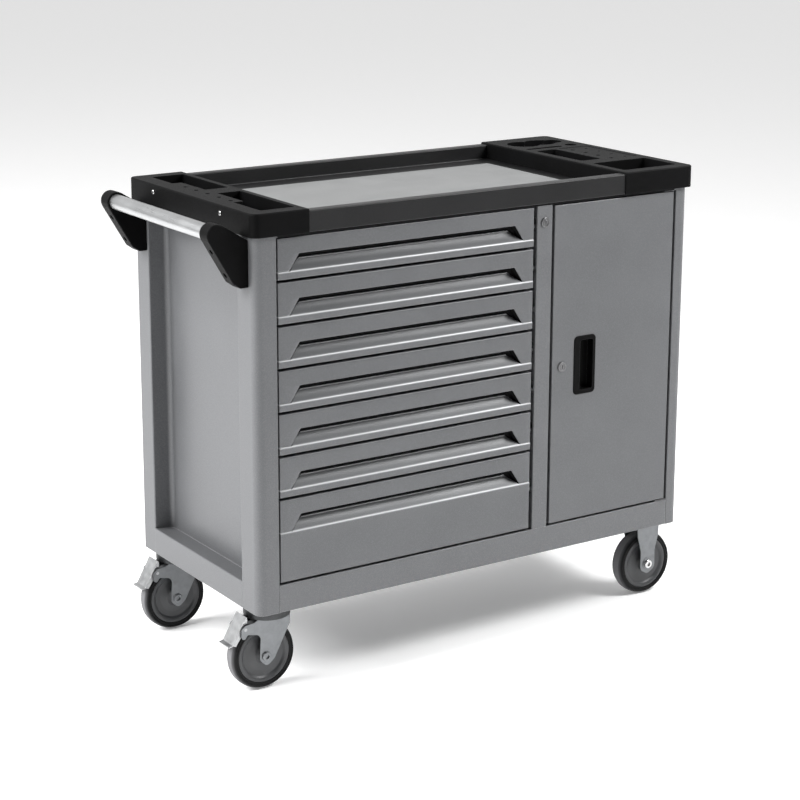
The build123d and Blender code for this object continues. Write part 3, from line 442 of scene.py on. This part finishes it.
# depth of the front face at x (from the middle) and down (from the top): a flat upper field, a
# slot whose lower side is a hollow sheet that steepens up to a hemmed edge, and below the
# ridge a band that stands slightly proud and falls back towards the bottom edge
def gripDepth(x, down, look):
    mouth, sheet = gripHalves(down, look)
    out = np.abs(x)
    fall = np.clip((down - look["ridge"]) / look["beadFall"], 0, 1)
    band = -look["proud"] * (1 - fall ** 1.5)
    up = look["ridge"] - down
    up = 0.5 * (up + np.sqrt(up ** 2 + look["soft"] ** 2)) - 0.15 * look["soft"]
    share = np.clip(up / (look["ridge"] - look["hem"]), 0, 1)
    hollow = (look["hemDepth"] + look["proud"]) * (1 - (1 - share) ** 1.7)
    hemBead = look["bead"] * hemRoll(down, look)
    sheetDepth = band + hollow - hemBead
    edge = np.where(down < look["gripTop"], look["gripTop"] - down, np.maximum(out - mouth, 0))
    rolled = np.clip(look["roll"] - edge, 0, look["roll"])
    field = look["roll"] - np.sqrt(np.maximum(look["roll"] ** 2 - rolled ** 2, 0))
    field = np.where(out > mouth + look["roll"], 0, field)
    groove = look["groove"] * np.exp(-((down - look["ridge"] + look["grooveUp"]) / look["grooveSoft"]) ** 2)
    upper = np.where(out > mouth, field * (down > look["gripTop"]) + groove, field)
    inMouth = (down > look["gripTop"]) & (down < look["ridge"]) & (out < mouth)
    onSheet = inMouth & (down > look["hem"]) & (out < sheet)
    depth = np.where(down >= look["ridge"], sheetDepth, upper)
    return np.where(onSheet, sheetDepth, np.where(inMouth, look["well"], depth))


# marks a front's points: the first mark is 1 along the hem and the ridge, where it paints a highlight line,
# and shade grows up the hollow sheet, where it paints shade
def markFront(piece, middle, top, look):
    spots = pointsOf(piece) * 1000
    out, down = np.abs(spots[:, 0] - middle), top - spots[:, 2]
    _, sheet = gripHalves(down, look)
    inside = (out < sheet) & (down > look["hem"] - 0.3) & (down < look["ridge"])
    hem = hemRoll(down, look) * inside
    ridge = np.exp(-((down - look["ridge"] - look["rubDown"]) / look["rubSoft"]) ** 2)
    climb = np.clip((look["ridge"] - down) / (look["ridge"] - look["hem"]), 0, 1)
    markPoints(piece, "rub", np.maximum(hem, ridge))
    markPoints(piece, "shade", climb ** 0.6 * inside * (1 - hem))


# distances down at which the front's rows lie, close together round its folds
def frontRows(height, look):
    fold, eps = look["fold"], look["eps"]
    g, h, r = look["gripTop"], look["hem"], look["ridge"]
    return np.unique(np.concatenate([
        np.linspace(fold, g - 1.6, 5), g - np.array([1.4, 1.0, 0.6, 0.3, eps]), [g + eps, (g + h) / 2],
        h + np.array([-eps, eps, 0.5, 0.9, 1.3, 1.8, 2.5]), np.linspace(h + 4, r - 3.4, 6),
        r + np.array([-2.8, -2.2, -1.7, -1.4, -1.1, -0.8, -0.5, -eps, eps, 0.4, 0.8, 1.3, 2.0, 3.0]),
        np.linspace(r + 4.5, height - fold, 5 if height < 100 else 12)]))


# x of every column at every row: the columns follow the slot's slanting ends
def frontColumns(down, width, look):
    eps = look["eps"]
    mouth, sheet = gripHalves(down, look)
    half = np.full_like(down, width / 2 - look["fold"])
    right = [sheet - eps, sheet + eps, mouth - eps, mouth + eps, mouth + 0.5, mouth + 1.5, half]
    knots = [-k for k in right[::-1]] + right
    columns = [knots[0]]
    for k, count in enumerate(look["columns"]):
        steps = np.arange(1, count + 1)[:, None] / count
        columns.extend(knots[k] * (1 - steps) + knots[k + 1] * steps)
    return np.array(columns)


# adds the rim, which folds back over a small radius to the plane of the back sheet; the
# outermost points all lie in that plane, so that the face that closes the shell is flat
def foldBack(x, d, y, look):
    fold = look["fold"]
    arc = np.linspace(0, math.pi / 2, 5)[1:]
    outwards = np.concatenate([fold * np.sin(arc), [fold]])
    back = np.concatenate([fold * (1 - np.cos(arc)), [look["depth"]]])
    x = np.concatenate([x[:1] - outwards[::-1, None], x, x[-1:] + outwards[:, None]])
    d = np.concatenate([d[:1]] * len(back) + [d] + [d[-1:]] * len(back))
    y = np.concatenate([y[:1] + back[::-1, None], y, y[-1:] + back[:, None]])
    y[[0, -1]] = look["depth"]
    x = np.concatenate([x[:, :1]] * len(back) + [x] + [x[:, -1:]] * len(back), axis=1)
    d = np.concatenate([d[:, :1] - outwards[::-1], d, d[:, -1:] + outwards], axis=1)
    first = np.maximum(y[:, :1], back[::-1])
    last = np.maximum(y[:, -1:], back)
    y = np.concatenate([first, y, last], axis=1)
    return x, d, y


# True for the faces inside the slot, over and beside the sloping sheet, which take the black coat as
# painted shadow
def slotShadowFaces(x, d, y, faces, look):
    out, down, depth = (a.reshape(-1)[faces].mean(axis=1) for a in (x, d, y))
    out = np.abs(out)
    inSlot = (out < look["halfRidge"] + 1) & (down > look["gripTop"] - 0.2) & (down < look["ridge"] + 0.2)
    offSheet = (down < look["hem"]) | (out > gripHalves(down, look)[1])
    return inSlot & offSheet & (depth > look["darkDepth"])


# the front as one closed shell: the pressed face, its folded rim and a flat sheet behind
def drawerFront(number, look):
    node = f"drawer_{number}_front"
    low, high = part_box(node)
    middle, width = (low.x + high.x) / 2 * 1000, (high.x - low.x) * 1000
    top, height, face = high.z * 1000, (high.z - low.z) * 1000, low.y * 1000
    down = frontRows(height, look)
    x = frontColumns(down, width, look)
    d = np.broadcast_to(down[None, :], x.shape)
    x, d, y = foldBack(x, d, gripDepth(x, d, look), look)
    points = np.stack([middle + x, face + y, top - d], axis=-1).reshape(-1, 3) / 1000
    faces = gridFaces(*x.shape, False, False)
    # slot 1 takes the black coat, painted shadow inside the slot
    slots = np.append(slotShadowFaces(x, d, y, faces, look).astype(np.int32), 0)
    piece = makePiece(f"drawerFront{number}", points, faces.tolist() + [borderFace(*x.shape)],
                      [frontCoat, shadowCoat], slots, 40.0)
    markFront(piece, middle, top, look)
    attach(piece, f"drawer_{number}")
    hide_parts(node)


for number in range(1, 8):
    drawerFront(number, front)
print("drawer fronts made")

# wheel, in mm: radius and half width, with the moulded details of each side
wheel = {"radius": 62.4, "half": 15.4, "seat": 50.0, "groove": 54.8}


# tyre outline: (radius, along) round the section, with a moulded ring cut in each side wall
def tyreOutline(look):
    r, h, seat, ring = look["radius"], look["half"], look["seat"], look["groove"]
    side = [(seat, h - 2.2), (ring - 1.6, h - 0.9), (ring - 0.8, h - 1.9), (ring + 0.8, h - 1.8),
            (ring + 1.6, h - 0.5), (r - 4.5, h), (r - 0.5, h - 8.5)]
    corners = side + [(r, 0)] + [(a, -b) for a, b in side[::-1]]
    radii = [0, 0.5, 0.4, 0.4, 0.5, 2.4, 6.0, 30.0, 6.0, 2.4, 0.5, 0.4, 0.4, 0.5, 0]
    return roundedOutline(corners, radii)


# marks the band that rolls on the floor, which is painted paler as a painted highlight: 1 beyond the
# shoulder
def markPaintedTreadHighlight(piece, centre, look):
    spots = pointsOf(piece)
    radius = np.hypot(spots[:, 0] - centre.x, spots[:, 2] - centre.z) * 1000
    markPoints(piece, "roll", np.clip((radius - look["radius"] + 1.6) / 1.2, 0, 1))


# hub outline: a raised ring at the tyre, a dished web and a boss about the axle
def hubOutline(look):
    h, seat = look["half"], look["seat"]
    side = [(5.1, 17.8), (13.0, 17.8), (16.5, 11.0), (30.0, 8.6), (39.5, 9.2), (43.0, h - 3.2),
            (46.5, h - 2.0), (seat - 0.1, h - 2.6)]
    corners = [(a, -b) for a, b in side] + [(a, b) for a, b in side[::-1]]
    radii = [0.3, 1.5, 3.5, 6.0, 2.0, 1.4, 1.5, 0.4]
    return roundedOutline(corners, radii + radii[::-1])


for end in ("front", "rear"):
    for side in ("left", "right"):
        centre = middleOf(f"tyre_{end}_{side}")
        label = end.capitalize() + side.capitalize()
        for kind, outline, coat, slot in (("tyre", tyreOutline(wheel), tyreRubber, "tyre_rubber"),
                                          ("hub", hubOutline(wheel), hubPlastic, "hub_plastic")):
            piece = turned(kind + label, centre, outline, [coat])
            if kind == "tyre":
                markPaintedTreadHighlight(piece, centre, wheel)
            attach(piece, f"wheel_{end}_{side}")
            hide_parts(f"{kind}_{end}_{side}")

# cup over the swivel's balls, in mm: radii, and heights from the top of the fork
cup = {"outer": 41.0, "inner": 38.6, "mouth": 33.0, "low": -7.3, "high": 6.4, "wall": 1.6, "round": 1.2}


# a ring of folded sheet: an upright wall with a flange turned in at its lower edge
def cupOutline(look):
    low, high, wall = look["low"], look["high"], look["wall"]
    corners = [(look["mouth"], low), (look["outer"], low), (look["outer"], high), (look["inner"], high),
               (look["inner"], low + wall), (look["mouth"], low + wall)]
    return roundedOutline(corners, [0.4, look["round"], 0.4, 0.4, 0.4, 0.4])


for joint in frame["record"]["behaviour"]["joints"]:
    if joint["name"].endswith("_swivel"):
        end = "front" if "front" in joint["name"] else "rear"
        centre = (joint["pos_m"][0], joint["pos_m"][1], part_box(f"swivel_fork_{end}")[1].z)
        piece = turned("swivelCup" + end.capitalize(), centre, cupOutline(cup), [shadowZinc], upright=True)
        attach(piece, joint["child"])
print("wheels and swivel cups made")

# mat: radius of its rolled edge in mm, and its points along X and Y
mat = {"edge": 1.6, "countX": 60, "countY": 40}


# rounded slab: a grid whose rim rolls over a small radius down to the worktop
def worktopMat(look):
    low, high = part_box("worktop_mat")
    edge = look["edge"] / 1000
    arc = np.linspace(0, math.pi / 2, 5)[1:]
    outwards = np.append(edge * np.sin(arc), edge)
    drop = np.append(edge * (1 - np.cos(arc)), high.z - low.z)
    x = np.linspace(low.x + edge, high.x - edge, look["countX"])
    y = np.linspace(low.y + edge, high.y - edge, look["countY"])
    x = np.concatenate([x[0] - outwards[::-1], x, x[-1] + outwards])
    y = np.concatenate([y[0] - outwards[::-1], y, y[-1] + outwards])
    dropX = np.concatenate([drop[::-1], np.zeros(look["countX"]), drop])
    dropY = np.concatenate([drop[::-1], np.zeros(look["countY"]), drop])
    z = high.z - np.maximum(dropX[:, None], dropY[None, :])
    points = np.stack([*np.broadcast_arrays(x[:, None], y[None, :], z)], axis=-1).reshape(-1, 3)
    faces = gridFaces(*z.shape, False, False).tolist() + [borderFace(*z.shape)]
    piece = makePiece("worktopMat", points, faces, [greyMat])
    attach(piece, "cabinet")
    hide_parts("worktop_mat")


worktopMat(mat)

# push handle tube: (radius, along) with rolled ends, in mm from its middle
tube = {"radius": 13.5, "wall": 1.5}


def handleTube(look):
    low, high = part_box("handle_tube")
    half = (high.y - low.y) / 2 * 1000
    outer, inner = look["radius"], look["radius"] - look["wall"]
    outline = roundedOutline([(inner, -half), (outer, -half), (outer, half), (inner, half)],
                             [0.3, 0.7, 0.7, 0.3])
    piece = turned("handleTube", middleOf("handle_tube"), outline, [tubeAluminium], 128)
    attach(piece, "cabinet")
    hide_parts("handle_tube")


handleTube(tube)

# black strip under the worktop's lip, in front of the front frame, laid as painted shadow, in mm
lipShadow = {"thick": 0.7, "under": 0.3, "low": 4.0}


# a rounded section carried along X, with a flat end at each side
def worktopSeal(look):
    leftPost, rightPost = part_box("drawer_1_front")[0].x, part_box("door_panel")[1].x
    lip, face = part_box("end_tray_left")[0].z * 1000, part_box("drawer_1_front")[0].y * 1000
    top, low = lip - look["under"], lip - look["low"]
    corners = [(face, low), (face - look["thick"], low), (face - look["thick"], top), (face, top)]
    section = roundedOutline(corners, [0.1, 0.3, 0.3, 0.1]) / 1000
    ends = np.array([leftPost, rightPost])
    points = np.stack([*np.broadcast_arrays(ends[:, None], section[None, :, 0], section[None, :, 1])],
                      axis=-1).reshape(-1, 3)
    count = len(section)
    faces = gridFaces(2, count, False, True).tolist()
    faces += [list(range(count)), list(range(2 * count - 1, count - 1, -1))]
    # the strip is painted shadow: a black sheet where the lip casts its shade
    piece = makePiece("worktopSeal", points, faces, [shadowCoat])
    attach(piece, "cabinet")


worktopSeal(lipShadow)
print("mat, handle and seal made")

# finish of each record slot on the CAD nodes that stay
finishes = {"cabinet_paint": cabinetCoat, "front_paint": frontCoat, "drawer_paint": drawerCoat,
            "zinc_steel": slideZinc, "black_paint": worktopCoat, "grey_mat": greyMat,
            "black_plastic": trayPlastic, "satin_aluminium": tubeAluminium,
            "bright_steel": brightPlate, "pressed_zinc": pressedZinc, "pedal_steel": pedalZinc,
            "tyre_rubber": tyreRubber, "hub_plastic": hubPlastic}
for part in frame["record"]["subparts"]:
    mesh = frame["nodes"][part["node"]].data
    mesh.materials.clear()
    mesh.materials.append(finishes[part["material_slot"]])
for name in ("main_lock", "door_lock"):
    frame["nodes"][name].data.materials[0] = lockNickel
print("CAD nodes finished")


# pale matt floor that glows faintly, as a lit paper sweep does
def makeFloor(look):
    material, tree, shader, place = startMaterial("mattPalePaperSweep", {
        "Roughness": look["floorRough"], "Emission Color": (1.0, 1.0, 1.0, 1.0),
        "Emission Strength": look["glow"]})
    cloud = grain(tree, place, look["cloudMm"], 2.0)
    tone = blendColours(tree, spread(tree, cloud, 0.0, 1.0), linear(look["floor"]),
                        linear(look["cloud"]))
    tree.links.new(tone, shader.inputs["Base Color"])
    size = look["floorSize"] / 2
    mesh = bpy.data.meshes.new("floor")
    mesh.from_pydata([(-size, -size, 0), (size, -size, 0), (size, size, 0), (-size, size, 0)], [],
                     [(0, 1, 2, 3)])
    mesh.materials.append(material)
    floor = bpy.data.objects.new("floor", mesh)
    scene.collection.objects.link(floor)


# a pale room, dimmer on the side that stands open, and one soft box per entry, turned so that
# it faces its aim
def makeLights(look):
    world = bpy.data.worlds.new("paleSky")
    world.use_nodes = True
    scene.world = world
    tree = world.node_tree
    sky = tree.nodes["Background"]
    sky.inputs["Color"].default_value = linear(look["sky"])
    direction = add(tree, "TexCoord").outputs["Generated"]
    towards = add(tree, "VectorMath", {0: direction, 1: look["darkSide"]}, operation="DOT_PRODUCT")
    strength = spread(tree, towards.outputs["Value"], look["skyHigh"], look["skyLow"],
                      look["darkFrom"], look["darkTo"])
    tree.links.new(strength, sky.inputs["Strength"])
    for name, (place, aim, size, power) in look["boxes"].items():
        data = bpy.data.lights.new(name, "AREA")
        data.size = size
        data.energy = power
        light = bpy.data.objects.new(name, data)
        scene.collection.objects.link(light)
        light.location = place
        gap = np.array(aim) - np.array(place)
        yaw = math.atan2(gap[1], gap[0]) - math.pi / 2
        pitch = math.atan2(gap[2], math.hypot(gap[0], gap[1])) + math.pi / 2
        light.rotation_euler = (pitch, 0, yaw)


makeFloor(studio)
makeLights(studio)
scene.view_settings.view_transform = "Standard"
print("floor and lights made")
